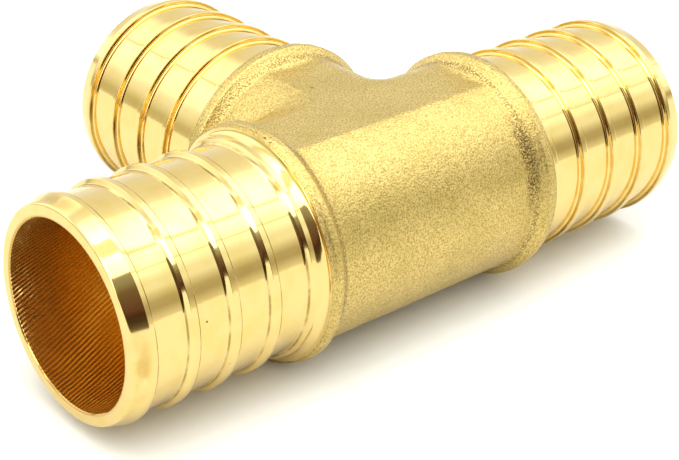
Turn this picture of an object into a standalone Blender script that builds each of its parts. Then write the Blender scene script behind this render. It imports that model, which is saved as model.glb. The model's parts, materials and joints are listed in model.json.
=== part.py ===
"""Barbed tee connector in brass, for nominal 1 inch crimped pipe.

The real fitting is one forging with three turned ends. It is held here as four named regions, divided
where the turned finish meets the forged finish: the forged body and three barbed spigots.

Frame: +X along the run, +Y along the branch, +Z up. The origin is the centre of the flat on the
underside, straight below the point where the run's axis crosses the branch's axis.
"""

import math

import bmesh
import bpy
from mathutils import Vector

# Driving dimensions, in metres.
CENTRE_TO_END = 0.0360  # from the crossing of the axes to each free end
BORE_RADIUS = 0.00915
CREST_RADIUS = 0.01095  # the barbs' crests, which stretch the pipe
LAND_RADIUS = 0.01045  # the plain lands between the barbs
LIP_RADIUS = 0.01040  # outer edge of each flat end face
BARREL_RADIUS = 0.01110  # the forged middle
FLAT_EDGE_ANGLE = math.radians(17)  # from straight up, round the barrel, to the edge of a flat
COLLAR_RADIUS = 0.01205

# Barbs, measured inwards from the free end.
NOSE_LENGTH = 0.00180
FIRST_DROP = 0.00236
BARB_PITCH = 0.00452
BARB_COUNT = 4
CREST_WIDTH = 0.00072
RAMP_LENGTH = 0.00045
DROP_RUN = 0.00006
STOP_CREST_START = 0.01965
STOP_CREST_END = 0.02015
SHOULDER_CURVE = ((0.01110, 0.02060), (0.01140, 0.02090))  # (radius, depth) on the way up to the shoulder
SPIGOT_LENGTH = 0.02110
SHOULDER_RADIUS = 0.01185

# The forged body, measured outwards from the crossing.
JOIN_GAP = 0.0003
COLLAR_WIDTH = 0.0009  # the round part of a collar, beyond its sloping inner side
COLLAR_CURL = 0.0003  # how much of that turns in towards the spigot
COLLAR_END_RADIUS = 0.01190
CROTCH_BLEND = 0.0014
COLLAR_BLEND = 0.0006
FRONT_FADE = 3.0  # how fast the branch barrel dies away on the side opposite to the branch
FLAT_HEIGHT = BARREL_RADIUS * math.cos(FLAT_EDGE_ANGLE)
BODY_END = CENTRE_TO_END - SPIGOT_LENGTH - JOIN_GAP
COLLAR_EDGE = BODY_END - COLLAR_CURL
COLLAR_START = BODY_END - COLLAR_WIDTH
COLLAR_FOOT = COLLAR_START - (COLLAR_RADIUS - FLAT_HEIGHT)  # the collar's inner side slopes at 45 degrees

# Facets.
SPIGOT_STEPS = 48
BODY_STEPS = 40
STEPS_TO_FLAT_EDGE = 2
BARREL_RINGS = 5
BORE_RINGS = 1
SMOOTH_ANGLE = math.radians(25)
SETTLE_ROUNDS = 14
LEAST_SLOPE_SQUARED = 0.25  # keeps a step short where the skin's rounding blurs its slope
PROBE = 1e-6
WELD_GRID = 1e-7

POLISHED_GOLD = (0.93, 0.70, 0.33)
POLISHED_ROUGHNESS = 0.15
BLASTED_GOLD = (0.78, 0.61, 0.29)
BLASTED_ROUGHNESS = 0.45


def clear_scene():
    for old in list(bpy.data.objects):
        bpy.data.objects.remove(old, do_unlink=True)


def brass(name, color, roughness):
    """A brass material with one finish."""
    material = bpy.data.materials.new(name)
    material.use_nodes = True
    shader = material.node_tree.nodes["Principled BSDF"]
    shader.inputs["Base Color"].default_value = (*color, 1.0)
    shader.inputs["Metallic"].default_value = 1.0
    shader.inputs["Roughness"].default_value = roughness
    return material


def place(name, mesh, material, parent):
    """Puts a mesh in the scene as a smooth-shaded object held by the parent."""
    mesh.materials.append(material)
    mesh.shade_smooth()
    mesh.set_sharp_from_angle(angle=SMOOTH_ANGLE)
    obj = bpy.data.objects.new(name, mesh)
    obj.parent = parent
    bpy.context.scene.collection.objects.link(obj)
    return obj


def spigot_profile():
    """(radius, depth below the free end) round the section, down the outside and back up the bore."""
    points = [(BORE_RADIUS, 0.0), (LIP_RADIUS, 0.0), (CREST_RADIUS, NOSE_LENGTH)]
    for barb in range(BARB_COUNT):
        drop = FIRST_DROP + barb * BARB_PITCH
        if barb > 0:
            points.append((LAND_RADIUS, drop - CREST_WIDTH - RAMP_LENGTH))
            points.append((CREST_RADIUS, drop - CREST_WIDTH))
        points.append((CREST_RADIUS, drop))
        points.append((LAND_RADIUS, drop + DROP_RUN))
    points.append((LAND_RADIUS, STOP_CREST_START - RAMP_LENGTH))
    points.append((CREST_RADIUS, STOP_CREST_START))
    points.append((CREST_RADIUS, STOP_CREST_END))
    points.extend(SHOULDER_CURVE)
    points.append((SHOULDER_RADIUS, SPIGOT_LENGTH))
    points.append((BORE_RADIUS, SPIGOT_LENGTH))
    return points


def spigot_mesh():
    """One barbed spigot, turned about its own Z axis with its free end facing +Z at the origin."""
    points = spigot_profile()
    shape = bmesh.new()
    ring = [shape.verts.new((radius, 0.0, -depth)) for radius, depth in points]
    for i, vert in enumerate(ring):
        shape.edges.new((vert, ring[(i + 1) % len(ring)]))
    bmesh.ops.spin(
        shape,
        geom=shape.verts[:] + shape.edges[:],
        cent=(0, 0, 0),
        axis=(0, 0, 1),
        angle=2 * math.pi,
        steps=SPIGOT_STEPS,
        use_merge=True,
    )
    bmesh.ops.recalc_face_normals(shape, faces=shape.faces)
    mesh = bpy.data.meshes.new("barbed_spigot")
    shape.to_mesh(mesh)
    shape.free()
    return mesh


def blend(a, b, reach):
    """The smaller of two distances, rounded where they are within reach of each other."""
    nearness = max(reach - abs(a - b), 0.0)
    return min(a, b) - nearness * nearness / (4 * reach)


def collar_radius(along):
    """Radius of a forged collar at a distance from the crossing."""
    if along < COLLAR_START:
        return COLLAR_RADIUS - (COLLAR_START - along)
    fall = max((along - COLLAR_EDGE) / (BODY_END - COLLAR_EDGE), 0.0)
    return COLLAR_RADIUS - (COLLAR_RADIUS - COLLAR_END_RADIUS) * fall * fall


def outside(point):
    """Distance of a point outside the forged skin, about the crossing; negative inside it."""
    x, y, z = point
    run = math.hypot(y, z)
    branch = math.hypot(x, z) + FRONT_FADE * max(-y, 0.0)
    barrels = blend(run - BARREL_RADIUS, branch - BARREL_RADIUS, CROTCH_BLEND)
    skin = max(barrels, abs(z) - FLAT_HEIGHT)
    skin = blend(skin, run - collar_radius(abs(x)), COLLAR_BLEND)
    return blend(skin, branch - collar_radius(y), COLLAR_BLEND)


def settle(point):
    """Moves a point along the skin's own normal until it lies on the forged skin."""
    for _ in range(SETTLE_ROUNDS):
        here = outside(point)
        slope = Vector((0, 0, 0))
        for axis in range(3):
            ahead = point.copy()
            ahead[axis] += PROBE
            slope[axis] = (outside(ahead) - here) / PROBE
        point = point - slope * (here / max(slope.length_squared, LEAST_SLOPE_SQUARED))
    return point


def step_angle(step):
    """Angles round an arm, nudged so that a line of points runs along each edge of the flats."""
    angle = 2 * math.pi * step / BODY_STEPS
    plain_edge = STEPS_TO_FLAT_EDGE * 2 * math.pi / BODY_STEPS
    nudge = (plain_edge - FLAT_EDGE_ANGLE) / math.sin(4 * plain_edge)
    return angle - nudge * math.sin(4 * angle)


def arm_grid(arm, radius, stations):
    """Rings of points on one arm. stations gives the distances out from the point's own seam.

    Each seam is where two arms of a plain tee would cross: the planes x = 0, y = x and y = -x.
    """
    columns = []
    for step in range(BODY_STEPS):
        angle = step_angle(step)
        across = math.cos(angle)
        height = math.sin(angle)
        seam = radius * (abs(across) if arm == "branch" else max(across, 0.0))
        column = []
        for along, out in stations(seam):
            if arm == "branch":
                column.append(Vector((out * across, along, out * height)))
            else:
                side = 1 if arm == "rear" else -1
                column.append(Vector((side * along, out * across, out * height)))
        columns.append(column)
    return [list(ring) for ring in zip(*columns)]


def skin_stations(seam):
    """(distance from the crossing, radius) of the skin's rings, from the seam out to the arm's end."""
    found = []
    for ring in range(BARREL_RINGS + 1):
        found.append((seam + (COLLAR_FOOT - seam) * ring / BARREL_RINGS, BARREL_RADIUS))
    for along in (COLLAR_START, COLLAR_EDGE, BODY_END):
        found.append((along, collar_radius(along)))
    return found


def bore_stations(seam):
    """(distance from the crossing, radius) of the bore's rings."""
    return [(seam + (BODY_END - seam) * ring / BORE_RINGS, BORE_RADIUS) for ring in range(BORE_RINGS + 1)]


def key_of(point):
    """The same whole numbers for points that meet on a seam."""
    return tuple(round(value / WELD_GRID) for value in point)


def add_tube(shape, radius, stations, finish):
    """Adds the three arms as one skin, welded on their seams, and returns each arm's end ring."""
    shared = {}
    ends = []
    for arm in ("front", "rear", "branch"):
        rows = []
        for points in arm_grid(arm, radius, stations):
            row = []
            for point in points:
                key = key_of(point)
                if key not in shared:
                    shared[key] = shape.verts.new(finish(point))
                row.append(shared[key])
            rows.append(row)
        for inner, outer in zip(rows, rows[1:]):
            for i in range(BODY_STEPS):
                j = (i + 1) % BODY_STEPS
                shape.faces.new((inner[i], inner[j], outer[j], outer[i]))
        ends.append(rows[-1])
    return ends


def on_skin(point):
    """A point of the barrels or the collars' slopes, moved onto the forged skin."""
    return settle(point) if max(abs(point.x), point.y) < COLLAR_EDGE - PROBE else point


def body_mesh():
    """The forged middle: its skin, its bores and the ring faces between them."""
    shape = bmesh.new()
    outer_ends = add_tube(shape, BARREL_RADIUS, skin_stations, on_skin)
    inner_ends = add_tube(shape, BORE_RADIUS, bore_stations, Vector)
    for outer, inner in zip(outer_ends, inner_ends):
        for i in range(BODY_STEPS):
            j = (i + 1) % BODY_STEPS
            shape.faces.new((outer[i], outer[j], inner[j], inner[i]))
    bmesh.ops.recalc_face_normals(shape, faces=shape.faces)
    mesh = bpy.data.meshes.new("tee_body")
    shape.to_mesh(mesh)
    shape.free()
    return mesh


def main():
    clear_scene()
    centre = bpy.data.objects.new("crossing_of_axes", None)
    centre.location = (0, 0, FLAT_HEIGHT)
    bpy.context.scene.collection.objects.link(centre)
    polished = brass("polished_brass", POLISHED_GOLD, POLISHED_ROUGHNESS)
    blasted = brass("blasted_brass", BLASTED_GOLD, BLASTED_ROUGHNESS)
    place("tee_body", body_mesh(), blasted, centre)
    quarter = math.pi / 2
    ends = {
        "front_run_spigot": ((-CENTRE_TO_END, 0, 0), (0, -quarter, 0)),
        "rear_run_spigot": ((CENTRE_TO_END, 0, 0), (0, quarter, 0)),
        "branch_spigot": ((0, CENTRE_TO_END, 0), (-quarter, 0, 0)),
    }
    for name, (location, turn) in ends.items():
        spigot = place(name, spigot_mesh(), polished, centre)
        spigot.location = location
        spigot.rotation_euler = turn


main()
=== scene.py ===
"""Looks of the barbed tee connector: one forged brass piece with three turned spigots, in a light tent.

Four finer pieces stand for the four CAD nodes. The forged middle is a blasted skin with its bores,
and each spigot is turned about its own axis. The materials hold painted shade along the barbs' edges,
in the collars' corners, at the bores' mouths, in the hollows of the bores' tool marks (with painted
highlight on their crests) and in small dents, and on the front spigot's nose a stain and a painted
darker reflection. The tent's panels are painted on the world, for mirror-like reflections; the camera
sees a plain white backdrop behind the floor.
"""

import json
import math

import bmesh
import bpy
import numpy as np
from mathutils import Matrix, Vector


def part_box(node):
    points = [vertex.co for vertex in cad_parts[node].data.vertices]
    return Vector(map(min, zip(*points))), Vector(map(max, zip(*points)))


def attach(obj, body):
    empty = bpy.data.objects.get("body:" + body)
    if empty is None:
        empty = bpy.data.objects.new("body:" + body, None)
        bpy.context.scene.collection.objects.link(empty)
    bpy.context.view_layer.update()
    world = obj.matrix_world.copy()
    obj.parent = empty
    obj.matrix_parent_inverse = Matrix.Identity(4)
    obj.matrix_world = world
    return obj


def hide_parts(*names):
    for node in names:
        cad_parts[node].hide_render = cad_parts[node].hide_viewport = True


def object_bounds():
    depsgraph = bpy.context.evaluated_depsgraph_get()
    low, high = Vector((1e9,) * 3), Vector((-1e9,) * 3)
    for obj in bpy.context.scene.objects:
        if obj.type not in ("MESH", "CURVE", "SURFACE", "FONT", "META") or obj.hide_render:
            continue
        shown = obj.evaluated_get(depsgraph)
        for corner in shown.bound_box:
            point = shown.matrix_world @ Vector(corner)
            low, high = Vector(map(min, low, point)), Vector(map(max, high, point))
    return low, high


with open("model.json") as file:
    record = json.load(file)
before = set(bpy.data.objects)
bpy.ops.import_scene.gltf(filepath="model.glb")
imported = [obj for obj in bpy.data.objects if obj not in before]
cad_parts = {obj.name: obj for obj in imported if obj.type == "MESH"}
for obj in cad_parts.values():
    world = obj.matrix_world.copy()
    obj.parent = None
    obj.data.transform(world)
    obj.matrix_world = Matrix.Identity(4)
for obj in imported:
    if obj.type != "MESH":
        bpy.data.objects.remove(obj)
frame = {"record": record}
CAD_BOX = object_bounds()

MM = 0.001

# Sizes read from the frame.
CENTRE_TO_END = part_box("rear_run_spigot")[1].x
SHOULDER_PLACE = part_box("rear_run_spigot")[0].x
BODY_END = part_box("tee_body")[1].x
FLAT_HEIGHT = frame["record"]["mounts"][1]["pos_m"][2] / 2
COLLAR_RADIUS = (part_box("tee_body")[1].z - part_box("tee_body")[0].z) / 2
FLOOR_HEIGHT = CAD_BOX[0].z

# Sizes of the fitting that the frame doesn't state.
BORE_RADIUS = 9.15 * MM
CREST_RADIUS = 10.95 * MM
LAND_RADIUS = 10.45 * MM
LIP_RADIUS = 10.40 * MM
BARREL_RADIUS = 11.10 * MM
SHOULDER_RADIUS = 11.70 * MM


# ---------------------------------------------------------------- turned spigots

# Barbs, measured inwards from the free end.
MOUTH_CHAMFER = 0.12 * MM
NOSE_LENGTH = 1.80 * MM
FIRST_DROP = 2.36 * MM
BARB_PITCH = 4.52 * MM
BARB_COUNT = 4
CREST_WIDTH = 0.72 * MM
RAMP_LENGTH = 0.38 * MM
DROP_RUN = 0.06 * MM
STOP_CREST_START = 19.65 * MM
STOP_CREST_END = 20.15 * MM
# Corners on the way up from the last crest to the shoulder, as spigot_corners gives them.
SHOULDER_CURVE = ((11.10 * MM, 20.60 * MM, 0.20 * MM), (11.40 * MM, 20.90 * MM, 0.15 * MM))
SHOULDER_DEPTH = CENTRE_TO_END - SHOULDER_PLACE
RIM_WIDTH = 0.10 * MM
RIM_FLARE = 0.03 * MM
JOIN_OVERLAP = 0.10 * MM

# How far each kind of corner is rounded.
EDGE = 0.035 * MM
RAMP_EDGE = 0.03 * MM
DROP_EDGE = 0.12 * MM
SOFT_EDGE = 0.10 * MM
ROOT = 0.22 * MM
LIP = 0.30 * MM
LARGEST_SHARE = 0.45  # of a side that the rounding of one of its corners may take

SPIGOT_STEPS = 288
ARC_STEPS = 8
SUPPORT = 0.03 * MM  # how close to its ends a long stretch gets its added points
LONG_STRETCH = 4 * SUPPORT
LONGEST_FACE = 0.60 * MM


def spigot_corners():
    """(radius, depth below the free end, rounding) down the outside and back up the bore."""
    corners = [
        (BORE_RADIUS, MOUTH_CHAMFER, SUPPORT),
        (BORE_RADIUS + MOUTH_CHAMFER, 0.0, SUPPORT),
        (LIP_RADIUS, 0.0, LIP),
        (CREST_RADIUS, NOSE_LENGTH, SOFT_EDGE),
    ]
    for barb in range(BARB_COUNT):
        drop = FIRST_DROP + barb * BARB_PITCH
        if barb > 0:
            corners.append((LAND_RADIUS, drop - CREST_WIDTH - RAMP_LENGTH, ROOT))
            corners.append((CREST_RADIUS, drop - CREST_WIDTH, RAMP_EDGE))
        corners.append((CREST_RADIUS, drop, DROP_EDGE))
        corners.append((LAND_RADIUS, drop + DROP_RUN, ROOT))
    corners.append((LAND_RADIUS, STOP_CREST_START - RAMP_LENGTH, ROOT))
    corners.append((CREST_RADIUS, STOP_CREST_START, EDGE))
    corners.append((CREST_RADIUS, STOP_CREST_END, SOFT_EDGE))
    corners.extend(SHOULDER_CURVE)
    corners.append((SHOULDER_RADIUS, SHOULDER_DEPTH - RIM_WIDTH, EDGE))
    corners.append((SHOULDER_RADIUS + RIM_FLARE, SHOULDER_DEPTH + JOIN_OVERLAP, 0.0))
    corners.append((BORE_RADIUS, SHOULDER_DEPTH + JOIN_OVERLAP, 0.0))
    return corners


def rounded(corners):
    """A closed outline whose corners are rounded by a curve through each corner's two tangent points."""
    points = []
    count = len(corners)
    for i, (radius, depth, rounding) in enumerate(corners):
        here = np.array((radius, depth))
        before = np.array(corners[i - 1][:2]) - here
        after = np.array(corners[(i + 1) % count][:2]) - here
        if rounding == 0.0:
            points.append(here)
            continue
        start = here + before * min(rounding / np.linalg.norm(before), LARGEST_SHARE)
        end = here + after * min(rounding / np.linalg.norm(after), LARGEST_SHARE)
        for step in range(ARC_STEPS + 1):
            t = step / ARC_STEPS
            points.append((1 - t) ** 2 * start + 2 * t * (1 - t) * here + t ** 2 * end)
    return points


def with_support(points):
    """Adds points close to both ends of each long straight stretch, so that shading stays true there."""
    found = []
    for here, after in zip(points, points[1:] + points[:1]):
        found.append(here)
        length = np.linalg.norm(after - here)
        if length < LONG_STRETCH:
            continue
        pieces = max(math.ceil((length - 2 * SUPPORT) / LONGEST_FACE), 1)
        for step in range(pieces + 1):
            place = SUPPORT + (length - 2 * SUPPORT) * step / pieces
            found.append(here + (after - here) * place / length)
    return found


def new_mesh(name, vertices, faces, slots):
    """A smooth-shaded mesh; slots gives each face its material's number."""
    mesh = bpy.data.meshes.new(name)
    mesh.from_pydata(vertices, [], faces)
    mesh.polygons.foreach_set("material_index", slots)
    mesh.shade_smooth()
    mesh.update()
    return mesh


def spigot_mesh():
    """One spigot about its own Z axis, with its free end at the origin facing +Z."""
    outline = with_support(rounded(spigot_corners()))
    rows = len(outline)
    vertices = []
    for step in range(SPIGOT_STEPS):
        angle = 2 * math.pi * step / SPIGOT_STEPS
        for radius, depth in outline:
            vertices.append((radius * math.cos(angle), radius * math.sin(angle), -depth))
    faces = []
    slots = []
    for step in range(SPIGOT_STEPS):
        here = step * rows
        there = (step + 1) % SPIGOT_STEPS * rows
        for row in range(rows):
            after = (row + 1) % rows
            faces.append((here + row, there + row, there + after, here + after))
            widest = max(outline[row][0], outline[after][0])
            slots.append(1 if widest < BORE_RADIUS + SUPPORT else 0)
    return new_mesh("spigot", vertices, faces, slots)


# ---------------------------------------------------------------- forged middle

# Stations along an arm, measured outwards from the crossing.
COLLAR_START = BODY_END - 0.9 * MM
COLLAR_EDGE = BODY_END - 0.3 * MM
COLLAR_FOOT = COLLAR_START - (COLLAR_RADIUS - FLAT_HEIGHT)
COLLAR_CORNER = COLLAR_START - (COLLAR_RADIUS - BARREL_RADIUS)  # where a collar's inner side meets a barrel
BARREL_END = COLLAR_FOOT - 0.35 * MM
SKIN_END = SHOULDER_PLACE
COLLAR_END_RADIUS = 11.90 * MM

# How far the skin is rounded where two of its surfaces meet.
CROTCH_BLEND = 1.4 * MM
COLLAR_BLEND = 0.6 * MM
FRONT_FADE = 3.0  # how fast the branch's barrel falls away on the side that has no branch

BODY_STEPS = 320
BARREL_RINGS = 52
COLLAR_RINGS = 9
BORE_RINGS = 24

# How the skin's points are brought onto it.
SETTLE_ROUNDS = 14
LEAST_SLOPE_SQUARED = 0.25
PROBE = 1e-6
WELD_GRID = 1e-7

# The slow unevenness left by forging: each row is a share of it, made of two sines that multiply each
# other, given as how often they repeat along x, y and z, and their phase.
WAVE_HEIGHT = 0.03 * MM
WAVE_LENGTH = 3.0 * MM
WAVE_FADE = 0.5 * MM
WAVES = (
    (1.0, (0.9, 0.5, 0.0), 1.3, (0.0, -0.8, 0.7), 0.4),
    (0.7, (0.0, 1.7, 0.6), 2.1, (1.3, 0.0, -1.1), 0.0),
    (0.5, (1.9, 0.0, 2.6), 0.7, (-1.2, 2.3, 0.0), 1.9),
)


def blend(a, b, reach):
    """The smaller of two distances, rounded where they are within reach of each other."""
    nearness = np.maximum(reach - np.abs(a - b), 0.0)
    return np.minimum(a, b) - nearness * nearness / (4 * reach)


def collar_radius(along):
    """Radius of a forged collar at a distance from the crossing."""
    slope = COLLAR_RADIUS - np.maximum(COLLAR_START - along, 0.0)
    fall = np.maximum((along - COLLAR_EDGE) / (BODY_END - COLLAR_EDGE), 0.0)
    return slope - (COLLAR_RADIUS - COLLAR_END_RADIUS) * np.minimum(fall * fall, 1.0)


def outside(points):
    """Distance of points outside the forged skin, about the crossing of the axes."""
    x, y, z = points.T
    run = np.hypot(y, z)
    branch = np.hypot(x, z) + FRONT_FADE * np.maximum(-y, 0.0)
    barrels = blend(run - BARREL_RADIUS, branch - BARREL_RADIUS, CROTCH_BLEND)
    skin = np.maximum(barrels, np.abs(z) - FLAT_HEIGHT)
    skin = blend(skin, run - collar_radius(np.abs(x)), COLLAR_BLEND)
    return blend(skin, branch - collar_radius(y), COLLAR_BLEND)


def slope_of(points):
    """How far points are outside the skin, and the direction in which that grows."""
    here = outside(points)
    columns = [(outside(points + PROBE * axis) - here) / PROBE for axis in np.eye(3)]
    return here, np.stack(columns, axis=1)


def settle(points):
    """Moves points along the skin's own normal until they lie on it."""
    for _ in range(SETTLE_ROUNDS):
        here, slope = slope_of(points)
        steepness = np.maximum((slope ** 2).sum(axis=1), LEAST_SLOPE_SQUARED)
        points = points - slope * (here / steepness)[:, None]
    return points


def arm_rings(arm, radius, stations):
    """Rings of points on one arm; the seams between arms are the planes x = 0, y = x and y = -x."""
    angles = np.arange(BODY_STEPS) * 2 * math.pi / BODY_STEPS
    across = np.cos(angles)
    height = np.sin(angles)
    seam = radius * (np.abs(across) if arm == "branch" else np.maximum(across, 0.0))
    rings = []
    for along, out in stations(seam):
        if arm == "branch":
            rings.append(np.stack([out * across, along, out * height], axis=1))
        else:
            side = 1 if arm == "rear" else -1
            rings.append(np.stack([side * along, out * across, out * height], axis=1))
    return rings


def skin_stations(seam):
    """(distance from the crossing, radius) of each ring of the skin, from the seam out to the arm's end."""
    for ring in range(BARREL_RINGS + 1):
        yield seam + (BARREL_END - seam) * ring / BARREL_RINGS, BARREL_RADIUS
    for ring in range(COLLAR_RINGS + 1):
        along = np.full_like(seam, COLLAR_FOOT + (COLLAR_START - COLLAR_FOOT) * ring / COLLAR_RINGS)
        yield along, collar_radius(along)
    for ring in range(1, COLLAR_RINGS + 1):
        along = np.full_like(seam, COLLAR_START + (SKIN_END - COLLAR_START) * ring / COLLAR_RINGS)
        yield along, collar_radius(along)


def bore_stations(seam):
    """(distance from the crossing, radius) of each ring of the bore."""
    for ring in range(BORE_RINGS + 1):
        yield seam + (SKIN_END - seam) * ring / BORE_RINGS, BORE_RADIUS


def tube(radius, stations):
    """The three arms as one skin: its points, its faces and each arm's end ring."""
    places = []
    faces = []
    ends = []
    number = {}
    for arm in ("front", "rear", "branch"):
        rows = []
        for ring in arm_rings(arm, radius, stations):
            row = []
            for point, key in zip(ring, np.round(ring / WELD_GRID).astype(int)):
                key = tuple(key)
                if key not in number:
                    number[key] = len(places)
                    places.append(point)
                row.append(number[key])
            rows.append(row)
        for inner, outer in zip(rows, rows[1:]):
            for i in range(BODY_STEPS):
                j = (i + 1) % BODY_STEPS
                faces.append((inner[i], inner[j], outer[j], outer[i]))
        ends.append(rows[-1])
    return np.array(places), faces, ends


def waves(points):
    """A slow, smooth unevenness between about -1 and 1."""
    turns = points * (2 * math.pi / WAVE_LENGTH)
    total = 0.0
    for share, first, first_phase, second, second_phase in WAVES:
        total = total + share * np.sin(turns @ first + first_phase) * np.sin(turns @ second + second_phase)
    return total / 2


def forged_skin():
    """The forged skin's points, faces and end rings, with the unevenness that forging leaves."""
    points, faces, ends = tube(BARREL_RADIUS, skin_stations)
    inner = np.maximum(np.abs(points[:, 0]), points[:, 1]) < COLLAR_EDGE
    points[inner] = settle(points[inner])
    _, normals = slope_of(points)
    normals /= np.linalg.norm(normals, axis=1)[:, None]
    to_end = SKIN_END - np.maximum(np.abs(points[:, 0]), points[:, 1])
    lift = waves(points) * WAVE_HEIGHT * np.clip(to_end / WAVE_FADE, 0.0, 1.0)
    return points + normals * lift[:, None], faces, ends


def body_mesh():
    """The forged middle: its skin, its bores and the ring faces between them."""
    skin, faces, skin_ends = forged_skin()
    bore, bore_faces, bore_ends = tube(BORE_RADIUS, bore_stations)
    first = len(skin)
    slots = [0] * len(faces)
    for face in bore_faces:
        faces.append(tuple(first + i for i in face))
        slots.append(1)
    for outer, inner in zip(skin_ends, bore_ends):
        for i in range(BODY_STEPS):
            j = (i + 1) % BODY_STEPS
            faces.append((outer[i], outer[j], first + inner[j], first + inner[i]))
            slots.append(0)
    points = np.concatenate([skin, bore])
    points[:, 2] += FLAT_HEIGHT
    return new_mesh("forged_middle", points.tolist(), faces, slots)


def face_outwards(mesh):
    """Turns every face of a closed mesh to face outwards."""
    shape = bmesh.new()
    shape.from_mesh(mesh)
    bmesh.ops.recalc_face_normals(shape, faces=shape.faces)
    shape.to_mesh(mesh)
    shape.free()


# ---------------------------------------------------------------- nodes

NEAR_HEART = 0.25  # share of near's reach over which it stays at 1
SPOT_HEART = 0.35  # share of a mark's radius over which spots stays at 1


def add(tree, kind, inputs=None, **settings):
    """Adds a node. inputs maps its sockets to numbers, colours or other nodes' sockets."""
    made = tree.nodes.new(kind)
    for name, value in settings.items():
        setattr(made, name, value)
    for socket, value in (inputs or {}).items():
        if isinstance(value, bpy.types.NodeSocket):
            tree.links.new(value, made.inputs[socket])
        else:
            made.inputs[socket].default_value = value
    return made


def calc(tree, operation, *values):
    """One arithmetic operation on numbers or sockets."""
    return add(tree, "ShaderNodeMath", dict(enumerate(values)), operation=operation).outputs[0]


def negative(tree, value):
    """Minus the value."""
    return calc(tree, "MULTIPLY", value, -1.0)


def product(tree, *values):
    """All the values multiplied together."""
    out = values[0]
    for value in values[1:]:
        out = calc(tree, "MULTIPLY", out, value)
    return out


def line(tree, value, start, slope):
    """start + slope * value."""
    return calc(tree, "ADD", start, calc(tree, "MULTIPLY", value, slope))


def clamp(tree, value, least, most):
    """value, kept between least and most."""
    return calc(tree, "MINIMUM", calc(tree, "MAXIMUM", value, least), most)


def rise(tree, value, start, end):
    """0 below start, 1 above end and a smooth rise between them; falls instead where end < start."""
    limits = {"Value": value, "From Min": start, "From Max": end}
    return add(tree, "ShaderNodeMapRange", limits, interpolation_type="SMOOTHSTEP").outputs["Result"]


def near(tree, value, middle, reach):
    """1 where value is at middle, falling smoothly to 0 at a distance of reach."""
    away = calc(tree, "ABSOLUTE", calc(tree, "SUBTRACT", value, middle))
    return rise(tree, away, reach, NEAR_HEART * reach)


def mix(tree, share, first, second):
    """first where share is 0 and second where it is 1."""
    made = tree.nodes.new("ShaderNodeMix")
    made.data_type = "RGBA"
    for socket, value in ((made.inputs[0], share), (made.inputs[6], first), (made.inputs[7], second)):
        if isinstance(value, bpy.types.NodeSocket):
            tree.links.new(value, socket)
        else:
            socket.default_value = value if isinstance(value, float) else (*value, 1.0)
    return made.outputs[2]


def ramp(tree, value, stops):
    """A colour for each value, from (value, colour) stops between 0 and 1."""
    made = add(tree, "ShaderNodeValToRGB", {"Fac": value})
    elements = made.color_ramp.elements
    while len(elements) < len(stops):
        elements.new(1.0)
    for element, (place, colour) in zip(elements, stops):
        element.position = place
        element.color = (*colour, 1.0)
    return made.outputs["Color"]


def scaled(tree, colour, gain):
    """A colour made brighter or darker."""
    return add(tree, "ShaderNodeVectorMath", {0: colour, "Scale": gain}, operation="SCALE").outputs[0]


def noise(tree, place, size, detail):
    """Noise between 0 and 1 around 0.5, whose patches are about size across."""
    return add(tree, "ShaderNodeTexNoise", {"Vector": place, "Scale": 1 / size, "Detail": detail}).outputs[0]


def object_place(tree):
    """The place on the piece, as one socket and as its x, y and z."""
    place = add(tree, "ShaderNodeTexCoord").outputs["Object"]
    return place, add(tree, "ShaderNodeSeparateXYZ", {0: place}).outputs


def spots(tree, place, marks):
    """1 at the heart of each mark and 0 outside it; marks are (x, y, z, radius) in the same space."""
    found = 0.0
    for x, y, z, radius in marks:
        apart = add(tree, "ShaderNodeVectorMath", {0: place, 1: (x, y, z)}, operation="DISTANCE")
        found = calc(tree, "MAXIMUM", found, rise(tree, apart.outputs["Value"], radius, SPOT_HEART * radius))
    return found


# ---------------------------------------------------------------- materials

BRASS = (0.92, 0.70, 0.28)
TARNISHED = (0.88, 0.65, 0.22)
BORED_LIT = (0.97, 0.75, 0.32)
BORED_SHADED = (0.80, 0.58, 0.20)
BLASTED = (0.82, 0.62, 0.225)
BLASTED_DULL = (0.66, 0.51, 0.155)
BLASTED_DARK = (0.46, 0.33, 0.100)
MOUTH_SHADE = (0.66, 0.38, 0.09)
STAIN_AND_REFLECTION = (0.70, 0.48, 0.15)
EDGE_SHADE = (0.30, 0.20, 0.06)
DARK_SHADE = (0.16, 0.10, 0.03)
FLOOR_WHITE = (0.80, 0.80, 0.80)
FLOOR_MIRRORED = (0.64, 0.64, 0.64)

# In the groups below a noise is (size of its patches, detail), and a fade is the two values between
# which something goes from absent to full. A place is (its middle, how far it reaches).

# Turned brass. DROP_LINE and ROOT_LINE, the lines of painted shade behind each barb's drop edge and at
# each ramp's root, are placed by their depth below a barb's drop edge.
TURNED_ROUGHNESS = 0.08
TOOL_FEED = 0.12 * MM
TOOL_RING_DETAIL = 3.0
TOOL_RING_HEIGHT = 0.0012 * MM
PATCHES = (2.2 * MM, 4.0)
TARNISH_FADE = (0.42, 0.68)
TARNISH_SHARE = 0.8
EDGE_SHADE_FADE = (0.25, 0.60)
FAINT_EDGE_SHADE = 0.3
FULL_EDGE_SHADE = 1.0
DROP_LINE = (-0.05 * MM, 0.12 * MM)
ROOT_LINE = (-(CREST_WIDTH + RAMP_LENGTH), 0.14 * MM)
ROOT_SHARE = 0.80
MOUTH_RING = (BORE_RADIUS, 0.34 * MM)
MOUTH_FADE = (0.30 * MM, 0.15 * MM)
MOUTH_SHARE = 0.85

# On the front spigot's nose cone: a stain near the top, and a painted darker reflection low on the -Y side.
STAIN_AND_REFLECTION_FADE = (0.30, 0.62)
STAIN_AND_REFLECTION_DEPTH = (0.9 * MM, 1.0 * MM)
TOP_STAIN_Y = (1.4 * MM, 3.2 * MM)
TOP_STAIN_RISE = (5 * MM, 8 * MM)
LOW_REFLECTION_X = (-0.8 * MM, 4.2 * MM)
LOW_REFLECTION_RISE = (-5 * MM, -8 * MM)

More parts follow.
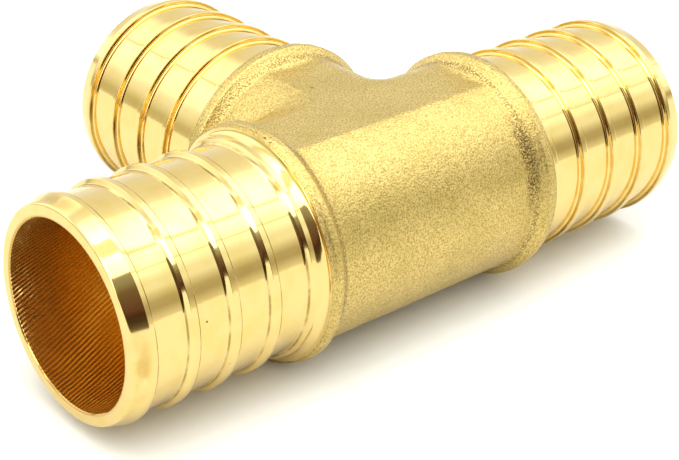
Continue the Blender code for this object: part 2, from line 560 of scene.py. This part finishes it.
# Bored brass.
BORED_ROUGHNESS = 0.22
MARK_SLANT = math.radians(20)
MARK_COUNT = 135
MARK_HEIGHT = 0.025 * MM
MARKS_INSIDE = 0.7  # the marks' height deep in the bore, as a share of MARK_HEIGHT
MARKS_AT_MOUTH = 3.3  # what is added to that share at the mouth
MARKS_FADE = (9 * MM, 1 * MM)
WANDER = (2.5 * MM, 2.0)
WANDER_ANGLE = 5.0
CREST_FADE = (-0.7, 0.9)

# Blasted brass.
BLASTED_ROUGHNESS = 0.38
GRAIN = (0.17 * MM, 2.0)
GRAIN_HEIGHT = 0.055 * MM
GRAIN_FADE = (0.34, 0.62)
TONE = (4.5 * MM, 3.0)
TONE_FADE = (0.40, 0.66)
TONE_SHARE = 0.55

# Painted shade on the forged middle: thin in every collar's corner, thick and patchy on the -Y side of the
# rear one.
PITS_FADE = (0.66, 0.40)
THIN_CORNER_SHADE = (COLLAR_CORNER, 0.40 * MM)
THIN_SHARE = 0.60
THICK_CORNER_SHADE = (COLLAR_CORNER - 0.5 * MM, 1.1 * MM)
THICK_SIDE = (-6.5 * MM, -9.0 * MM)
THICK_HEIGHT = (9.0 * MM, 13.0 * MM)
THICK_PATCHES = (1.6 * MM, 3.0)
THICK_FADE = (0.34, 0.56)

FLOOR_ROUGHNESS = 0.7


def on_spigot(angle, depth, radius, size):
    """A mark at an angle in degrees round a spigot and a depth in mm; radius and size are in mm."""
    turn = math.radians(angle)
    return radius * math.cos(turn) * MM, radius * math.sin(turn) * MM, -depth * MM, size * MM


# Small dents, each painted as a dark spot of shade, on the front spigot and then on the forged middle.
FRONT_DENT_SHADES = (
    on_spigot(-82.0, 7.9, 10.45, 0.16),
    on_spigot(-112.0, 10.5, 10.95, 0.20),
    on_spigot(-111.0, 10.3, 10.95, 0.16),
)
BODY_DENT_SHADES = (
    (-14.60 * MM, -1.45 * MM, 22.42 * MM, 0.20 * MM),
    (-14.50 * MM, -0.95 * MM, 22.46 * MM, 0.14 * MM),
    (-14.70 * MM, -2.30 * MM, 22.28 * MM, 0.15 * MM),
    (-2.00 * MM, 6.70 * MM, 21.23 * MM, 0.22 * MM),
)


def material(name, roughness, metallic=1.0):
    """A new material, its node tree and its shader."""
    made = bpy.data.materials.new(name)
    made.use_nodes = True
    shader = made.node_tree.nodes["Principled BSDF"]
    shader.inputs["Metallic"].default_value = metallic
    shader.inputs["Roughness"].default_value = roughness
    return made, made.node_tree, shader


def finish_surface(tree, shader, colour, height, distance):
    """Gives a shader its colour and a bump; distance is how tall the bump is where height is 1."""
    tree.links.new(colour, shader.inputs["Base Color"])
    bump = add(tree, "ShaderNodeBump", {"Height": height, "Distance": distance, "Strength": 1.0})
    tree.links.new(bump.outputs[0], shader.inputs["Normal"])


def barb_edge_shade(tree, depth):
    """Painted shade: 1 along the drop edge of every barb and along the root of every ramp."""
    start = FIRST_DROP - BARB_PITCH / 2
    turns = calc(tree, "DIVIDE", calc(tree, "SUBTRACT", depth, start), BARB_PITCH)
    offset = calc(tree, "MULTIPLY", calc(tree, "SUBTRACT", calc(tree, "FRACT", turns), 0.5), BARB_PITCH)
    before_shoulder = calc(tree, "LESS_THAN", depth, STOP_CREST_END)
    past_nose = calc(tree, "GREATER_THAN", depth, FIRST_DROP + BARB_PITCH / 2)
    drop = product(tree, near(tree, offset, *DROP_LINE), before_shoulder)
    root = product(tree, near(tree, offset, *ROOT_LINE), past_nose, ROOT_SHARE)
    return calc(tree, "MAXIMUM", drop, root)


def nose_stain_and_reflection(tree, x, y, depth):
    """1 on two stretches of the nose cone: a stain near the top, and a painted darker reflection low on the
    -Y side.
    """
    top = product(tree, near(tree, y, *TOP_STAIN_Y), rise(tree, x, *TOP_STAIN_RISE))
    low = product(tree, near(tree, x, *LOW_REFLECTION_X), rise(tree, y, *LOW_REFLECTION_RISE))
    return product(tree, near(tree, depth, *STAIN_AND_REFLECTION_DEPTH), calc(tree, "MAXIMUM", top, low))


def mouth_shade_ring(tree, place, depth):
    """1 on the ring where the bore meets the free end, where shade is painted."""
    from_end = add(tree, "ShaderNodeVectorMath", {0: place}, operation="LENGTH").outputs["Value"]
    return product(tree, near(tree, from_end, *MOUTH_RING), rise(tree, depth, *MOUTH_FADE))


def turned_brass(name, edge_shade_strength, dent_shades=(), stain_and_reflection_on_nose=False):
    """Bright turned brass with the faint rings of the lathe tool; the local Z axis is the lathe's."""
    made, tree, shader = material(name, TURNED_ROUGHNESS)
    place, (x, y, z) = object_place(tree)
    depth = negative(tree, z)
    patchy = noise(tree, place, *PATCHES)
    tarnished = calc(tree, "MULTIPLY", rise(tree, patchy, *TARNISH_FADE), TARNISH_SHARE)
    # painted shade along the barbs' drop edges and the ramps' roots, in patches
    edge_shade_share = product(tree, barb_edge_shade(tree, depth), rise(tree, patchy, *EDGE_SHADE_FADE), edge_shade_strength)
    colour = mix(tree, edge_shade_share, mix(tree, tarnished, BRASS, TARNISHED), EDGE_SHADE)
    # painted shade on the bevel where the bore meets the free end
    mouth_shade = calc(tree, "MULTIPLY", mouth_shade_ring(tree, place, depth), MOUTH_SHARE)
    colour = mix(tree, mouth_shade, colour, MOUTH_SHADE)
    if stain_and_reflection_on_nose:
        # a stain near the nose's top and a painted darker reflection low on its -Y side
        stain_and_reflection = product(tree, nose_stain_and_reflection(tree, x, y, depth), rise(tree, patchy, *STAIN_AND_REFLECTION_FADE))
        colour = mix(tree, stain_and_reflection, colour, STAIN_AND_REFLECTION)
    # painted shade in small dents
    colour = mix(tree, spots(tree, place, dent_shades), colour, DARK_SHADE)
    rings = {"W": calc(tree, "MULTIPLY", z, 1.0 / TOOL_FEED), "Scale": 1.0, "Detail": TOOL_RING_DETAIL}
    height = add(tree, "ShaderNodeTexNoise", rings, noise_dimensions="1D").outputs[0]
    finish_surface(tree, shader, colour, height, TOOL_RING_HEIGHT)
    return made


def spigot_section(tree, x, y, z):
    """Two coordinates across a spigot's bore, and the depth below its free end."""
    return x, y, negative(tree, z)


def middle_section(tree, x, y, z):
    """Two coordinates across the middle's run bore, and the distance from the front spigot's end."""
    return calc(tree, "SUBTRACT", z, FLAT_HEIGHT), y, calc(tree, "ADD", x, CENTRE_TO_END)


def bored_brass(name, section):
    """The bore's brass, scored by the boring tool's long-lead helical marks, with painted highlight on their
    crests and painted shade in their hollows.
    """
    made, tree, shader = material(name, BORED_ROUGHNESS)
    place, (x, y, z) = object_place(tree)
    up, across, depth = section(tree, x, y, z)
    angle = calc(tree, "ARCTAN2", across, up)
    twist = calc(tree, "MULTIPLY", depth, math.tan(MARK_SLANT) / BORE_RADIUS)
    phase = calc(tree, "MULTIPLY", calc(tree, "ADD", angle, twist), MARK_COUNT)
    wander = noise(tree, place, *WANDER)
    wave = calc(tree, "SINE", calc(tree, "ADD", phase, calc(tree, "MULTIPLY", wander, WANDER_ANGLE)))
    tallness = line(tree, rise(tree, depth, *MARKS_FADE), MARKS_INSIDE, MARKS_AT_MOUTH)
    # painted highlight on the tool marks' crests and painted shade in their hollows
    colour = mix(tree, rise(tree, wave, *CREST_FADE), BORED_SHADED, BORED_LIT)
    finish_surface(tree, shader, colour, product(tree, wave, wander, tallness), MARK_HEIGHT)
    return made


def body_corner_shade(tree, place, x, y, z):
    """1 where shade is painted on the forged middle, in its collars' corners."""
    along = calc(tree, "MAXIMUM", calc(tree, "ABSOLUTE", x), y)
    thin = product(tree, near(tree, along, *THIN_CORNER_SHADE), THIN_SHARE)
    thick = product(
        tree,
        near(tree, x, *THICK_CORNER_SHADE),
        rise(tree, y, *THICK_SIDE),
        rise(tree, z, *THICK_HEIGHT),
        rise(tree, noise(tree, place, *THICK_PATCHES), *THICK_FADE),
    )
    return calc(tree, "MAXIMUM", thin, thick)


def blasted_brass():
    """Forged brass after shot blasting: a fine matt grain over a slow change of tone."""
    made, tree, shader = material("blasted_brass", BLASTED_ROUGHNESS)
    place, (x, y, z) = object_place(tree)
    grain = noise(tree, place, *GRAIN)
    dull = calc(tree, "MULTIPLY", rise(tree, noise(tree, place, *TONE), *TONE_FADE), TONE_SHARE)
    bright = mix(tree, dull, BLASTED, BLASTED_DULL)
    colour = mix(tree, rise(tree, grain, *GRAIN_FADE), BLASTED_DARK, bright)
    # painted shade in the collars' corners, only in the grain's pits
    corner_shade_in_pits = product(tree, body_corner_shade(tree, place, x, y, z), rise(tree, grain, *PITS_FADE))
    colour = mix(tree, corner_shade_in_pits, colour, DARK_SHADE)
    # painted shade in small dents
    colour = mix(tree, spots(tree, place, BODY_DENT_SHADES), colour, DARK_SHADE)
    finish_surface(tree, shader, colour, grain, GRAIN_HEIGHT)
    return made


def floor_white():
    """White, and a little duller where the brass mirrors it."""
    made, tree, shader = material("floor_white", FLOOR_ROUGHNESS, metallic=0.0)
    mirrored = add(tree, "ShaderNodeLightPath").outputs["Is Glossy Ray"]
    tree.links.new(mix(tree, mirrored, FLOOR_WHITE, FLOOR_MIRRORED), shader.inputs["Base Color"])
    return made


# ---------------------------------------------------------------- the tent, painted on the world

# In this section x, y and z are a direction, u is x / z and w is y / z.

# Light by angle in degrees: from 0 at the horizon on the -Y side, over the top at 90, to 180 on the +Y side.
ALONG_RUN = [
    (0, (0.90, 0.88, 0.76)),
    (6, (0.68, 0.65, 0.54)),
    (11, (0.51, 0.46, 0.34)),
    (18, (0.54, 0.50, 0.37)),
    (24, (0.78, 0.76, 0.64)),
    (30, (1.05, 1.09, 1.04)),
    (38, (1.06, 1.12, 1.06)),
    (43, (1.30, 1.34, 1.40)),
    (50, (1.62, 1.64, 1.68)),
    (62, (2.40, 2.40, 2.40)),
    (80, (2.90, 2.90, 2.90)),
    (94, (2.70, 2.70, 2.70)),
    (106, (2.10, 2.10, 2.10)),
    (112, (1.85, 1.85, 1.85)),
    (117, (1.15, 1.24, 1.28)),
    (124, (1.04, 1.06, 1.03)),
    (136, (0.95, 0.94, 0.84)),
    (150, (0.92, 0.91, 0.83)),
    (162, (0.92, 0.93, 0.93)),
    (172, (0.98, 1.01, 1.09)),
    (180, (1.00, 1.03, 1.13)),
]
# The same from the -X side to the +X side, for what the branch's outside reflects.
ACROSS_RUN = [
    (0, (0.76, 0.74, 0.61)),
    (4, (0.66, 0.63, 0.48)),
    (10, (0.66, 0.63, 0.47)),
    (16, (0.86, 0.85, 0.74)),
    (23, (1.04, 1.06, 1.04)),
    (29, (1.10, 1.16, 1.20)),
    (35, (1.35, 1.37, 1.48)),
    (42, (1.70, 1.70, 1.66)),
    (60, (1.95, 1.95, 1.95)),
    (70, (1.80, 1.80, 1.78)),
    (71.5, (0.95, 1.05, 1.05)),
    (73.0, (0.95, 1.05, 1.05)),
    (74.5, (1.75, 1.75, 1.70)),
    (95, (1.72, 1.72, 1.72)),
    (108, (1.45, 1.45, 1.46)),
    (116, (1.15, 1.20, 1.27)),
    (122, (1.02, 1.05, 1.02)),
    (130, (0.97, 0.96, 0.88)),
    (180, (0.94, 0.94, 0.92)),
]
# What is seen through the tent's open front, by the same angle as ALONG_RUN.
OPENING = [
    (0, (0.30, 0.26, 0.20)),
    (3, (0.14, 0.11, 0.07)),
    (8, (0.070, 0.050, 0.030)),
    (14, (0.072, 0.035, 0.022)),
    (19, (0.14, 0.070, 0.050)),
    (31, (0.18, 0.12, 0.085)),
    (37, (0.21, 0.15, 0.10)),
    (43, (0.33, 0.31, 0.23)),
    (49, (0.38, 0.38, 0.33)),
    (52, (0.40, 0.40, 0.35)),
]

LEAST_HEIGHT = 0.005  # of z, where x and y are divided by it

# Where ACROSS_RUN takes over from ALONG_RUN, as fades: in degrees from +Y towards +X, and in w.
BRANCH_SIDE = (28, 16)
BRANCH_START = (0.70, 0.95)

# The two ceiling panels and the seam between them. PANELS_END is the w of the line at their front edge,
# PANELS_FRONT and PANELS_BACK are fades in w, and limits are the least and the most. Each other pair is
# a value at u = 0 and its growth for a unit of u.
PANELS_END = -0.80
PANELS_FRONT = (-0.84, -0.78)
PANELS_BACK = (0.50, 0.36)
PANELS_GAIN = (1.30, -0.50)
PANELS_GAIN_LIMITS = (0.72, 1.35)
SEAM_LEFT = (-0.20, -0.23)
SEAM_RIGHT = (-0.464, 0.175)
SEAM_WIDTH = (0.115, -0.155)
SEAM_WIDTH_LIMITS = (0.012, 0.14)
SEAM_BLUR = 0.030
SEAM_SHARE = 0.85
SEAM_COLOUR = (0.95, 0.92, 0.66)

# The open front: how much its top edge slants for a unit of -u, and the last -u at which it does; how
# sharp that edge is; and its two sides, as fades in degrees from -Y towards +X.
OPENING_SLANT = 0.10
OPENING_SLANT_END = 1.5
OPENING_BLUR = 0.01
OPENING_LEFT = (-98, -86)
OPENING_RIGHT = (16, 8)

# What matt surfaces see: an even tent with one soft box above the front.
TENT_COLOUR = (2.02, 2.03, 1.86)
TENT_SHARE = 0.20
SOFT_BOX_SHARE = 2.7
SOFT_BOX_FOCUS = 5.0
SOFT_BOX_AIM = (-0.15, -0.30, 0.94)

BACKDROP = (1.0, 1.0, 1.0)


def by_angle(tree, angle, stops):
    """A colour for an angle in radians, from stops in degrees between 0 and 180."""
    share = calc(tree, "DIVIDE", angle, math.pi)
    return ramp(tree, share, [(degrees / 180, colour) for degrees, colour in stops])


def between_degrees(tree, angle, limits):
    """0 at the first of two angles in degrees and 1 at the second, for an angle in radians."""
    start, end = limits
    return rise(tree, angle, math.radians(start), math.radians(end))


def walls(tree, x, y, height, w, run_angle):
    """The tent's light before its panels and its open front."""
    along = by_angle(tree, run_angle, ALONG_RUN)
    across = by_angle(tree, calc(tree, "ARCTAN2", height, negative(tree, x)), ACROSS_RUN)
    side = between_degrees(tree, calc(tree, "ARCTAN2", x, y), BRANCH_SIDE)
    return mix(tree, product(tree, side, rise(tree, w, *BRANCH_START)), along, across)


def panels_gain(tree, u, w):
    """How much brighter the panels are: more on the left, less on the right."""
    inside = product(tree, rise(tree, w, *PANELS_FRONT), rise(tree, w, *PANELS_BACK))
    gain = clamp(tree, line(tree, u, *PANELS_GAIN), *PANELS_GAIN_LIMITS)
    return calc(tree, "ADD", 1.0, calc(tree, "MULTIPLY", inside, calc(tree, "SUBTRACT", gain, 1.0)))


def seams(tree, u, w):
    """1 on the bent seam between the panels and on the line at their front edge."""
    middle = calc(tree, "MAXIMUM", line(tree, u, *SEAM_LEFT), line(tree, u, *SEAM_RIGHT))
    width = clamp(tree, line(tree, u, *SEAM_WIDTH), *SEAM_WIDTH_LIMITS)
    from_middle = calc(tree, "ABSOLUTE", calc(tree, "SUBTRACT", w, middle))
    seam = rise(tree, calc(tree, "SUBTRACT", from_middle, width), SEAM_BLUR, 0.0)
    from_end = calc(tree, "ABSOLUTE", calc(tree, "SUBTRACT", w, PANELS_END))
    return calc(tree, "MAXIMUM", seam, rise(tree, from_end, SEAM_BLUR, SEAM_BLUR / 3))


def opening(tree, x, y, u, w):
    """1 inside the tent's open front."""
    leftwards = clamp(tree, negative(tree, u), 0.0, OPENING_SLANT_END)
    past = calc(tree, "SUBTRACT", w, calc(tree, "MULTIPLY", leftwards, OPENING_SLANT))
    bearing = calc(tree, "ARCTAN2", x, negative(tree, y))
    return product(
        tree,
        rise(tree, past, PANELS_END + OPENING_BLUR, PANELS_END - OPENING_BLUR),
        between_degrees(tree, bearing, OPENING_RIGHT),
        between_degrees(tree, bearing, OPENING_LEFT),
    )


def tent(tree, aim):
    """The whole tent, as mirror-like surfaces see it."""
    x, y, z = add(tree, "ShaderNodeSeparateXYZ", {0: aim}).outputs
    height = calc(tree, "MAXIMUM", z, LEAST_HEIGHT)
    u = calc(tree, "DIVIDE", x, height)
    w = calc(tree, "DIVIDE", y, height)
    run_angle = calc(tree, "ARCTAN2", height, negative(tree, y))
    colour = scaled(tree, walls(tree, x, y, height, w, run_angle), panels_gain(tree, u, w))
    colour = mix(tree, calc(tree, "MULTIPLY", seams(tree, u, w), SEAM_SHARE), colour, SEAM_COLOUR)
    return mix(tree, opening(tree, x, y, u, w), colour, by_angle(tree, run_angle, OPENING))


def soft_light(tree, aim):
    """The even tent and soft box that matt surfaces see, which here are only the floor."""
    facing = add(tree, "ShaderNodeVectorMath", {0: aim, 1: SOFT_BOX_AIM}, operation="DOT_PRODUCT")
    lobe = calc(tree, "POWER", calc(tree, "MAXIMUM", facing.outputs["Value"], 0.0), SOFT_BOX_FOCUS)
    return scaled(tree, TENT_COLOUR, line(tree, lobe, TENT_SHARE, SOFT_BOX_SHARE))


def paint_world():
    """A light tent: two ceiling panels with a seam between them, pale walls and an open, dark front."""
    world = bpy.data.worlds.new("light_tent")
    bpy.context.scene.world = world
    world.use_nodes = True
    tree = world.node_tree
    tree.nodes.clear()
    aim = add(tree, "ShaderNodeTexCoord").outputs["Generated"]
    rays = add(tree, "ShaderNodeLightPath").outputs
    colour = mix(tree, rays["Is Diffuse Ray"], tent(tree, aim), soft_light(tree, aim))
    colour = mix(tree, rays["Is Camera Ray"], colour, BACKDROP)
    surface = add(tree, "ShaderNodeBackground", {"Color": colour, "Strength": 1.0})
    add(tree, "ShaderNodeOutputWorld", {"Surface": surface.outputs[0]})


# ---------------------------------------------------------------- camera

CAMERA_AZIMUTH = math.radians(-41.872)
CAMERA_ELEVATION = math.radians(28.315)
CAMERA_ROLL = math.radians(1.811)
CAMERA_DISTANCE = 105.77 * MM
CAMERA_TARGET = Vector((-42.23 * MM, -42.93 * MM, 29.05 * MM + FLAT_HEIGHT))
CAMERA_LENS = 90.904
CAMERA_SENSOR = 36.0
NEAREST_SEEN = 0.005
FARTHEST_SEEN = 20.0


def place_camera():
    """The photograph's viewpoint."""
    data = bpy.data.cameras.new("camera")
    data.lens = CAMERA_LENS
    data.sensor_width = CAMERA_SENSOR
    data.clip_start = NEAREST_SEEN
    data.clip_end = FARTHEST_SEEN
    camera = bpy.data.objects.new("camera", data)
    bpy.context.scene.collection.objects.link(camera)
    level = math.cos(CAMERA_ELEVATION)
    back = Vector((
        math.sin(CAMERA_AZIMUTH) * level,
        -math.cos(CAMERA_AZIMUTH) * level,
        math.sin(CAMERA_ELEVATION),
    ))
    right = (-back).cross(Vector((0, 0, 1))).normalized()
    up = back.cross(right)
    turn = Matrix((right, up, back)).transposed()
    camera.matrix_world = (
        Matrix.Translation(CAMERA_TARGET + back * CAMERA_DISTANCE)
        @ turn.to_4x4()
        @ Matrix.Rotation(CAMERA_ROLL, 4, "Z")
    )
    bpy.context.scene.camera = camera


# ---------------------------------------------------------------- assembly

QUARTER = math.pi / 2

# Where each spigot's free end is, and the turn that points its Z axis outwards.
SPIGOTS = {
    "front_run_spigot": ((-CENTRE_TO_END, 0, FLAT_HEIGHT), (0, -QUARTER, 0)),
    "rear_run_spigot": ((CENTRE_TO_END, 0, FLAT_HEIGHT), (0, QUARTER, 0)),
    "branch_spigot": ((0, CENTRE_TO_END, FLAT_HEIGHT), (-QUARTER, 0, 0)),
}

FLOOR_HALF = 3.0
MAX_BOUNCES = 10
GLOSSY_BOUNCES = 8


def show(name, mesh, materials):
    """Adds a mesh to the scene as a piece, with its materials."""
    for made in materials:
        mesh.materials.append(made)
    face_outwards(mesh)
    piece = bpy.data.objects.new(name, mesh)
    bpy.context.scene.collection.objects.link(piece)
    return piece


def add_middle():
    """The forged middle, in place of its CAD node."""
    finishes = (blasted_brass(), bored_brass("bored_brass_middle", middle_section))
    middle = show("forged_middle", body_mesh(), finishes)
    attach(middle, "root")
    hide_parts("tee_body")


def add_spigots():
    """The three turned spigots, in place of their CAD nodes; the front one is the most marked, with the most
    painted shade.
    """
    turned = turned_brass("turned_brass", FAINT_EDGE_SHADE)
    shaded_and_stained = turned_brass("turned_brass_shaded_and_stained", FULL_EDGE_SHADE, FRONT_DENT_SHADES, stain_and_reflection_on_nose=True)
    bored = bored_brass("bored_brass", spigot_section)
    for node, (place, turn) in SPIGOTS.items():
        finish = shaded_and_stained if node == "front_run_spigot" else turned
        piece = show("turned_" + node, spigot_mesh(), (finish, bored))
        piece.location = place
        piece.rotation_euler = turn
        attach(piece, "root")
        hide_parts(node)


def add_floor():
    """The pale floor under the fitting."""
    mesh = bpy.data.meshes.new("floor")
    sides = ((-1, -1), (1, -1), (1, 1), (-1, 1))
    mesh.from_pydata([(FLOOR_HALF * x, FLOOR_HALF * y, 0) for x, y in sides], [], [(0, 1, 2, 3)])
    mesh.materials.append(floor_white())
    floor = bpy.data.objects.new("floor", mesh)
    floor.location.z = FLOOR_HEIGHT
    bpy.context.scene.collection.objects.link(floor)


def main():
    """Sets up the view and the light, and adds the four pieces and the floor."""
    scene = bpy.context.scene
    scene.view_settings.view_transform = "Standard"
    scene.cycles.max_bounces = MAX_BOUNCES
    scene.cycles.glossy_bounces = GLOSSY_BOUNCES
    place_camera()
    paint_world()
    add_middle()
    add_spigots()
    add_floor()


main()
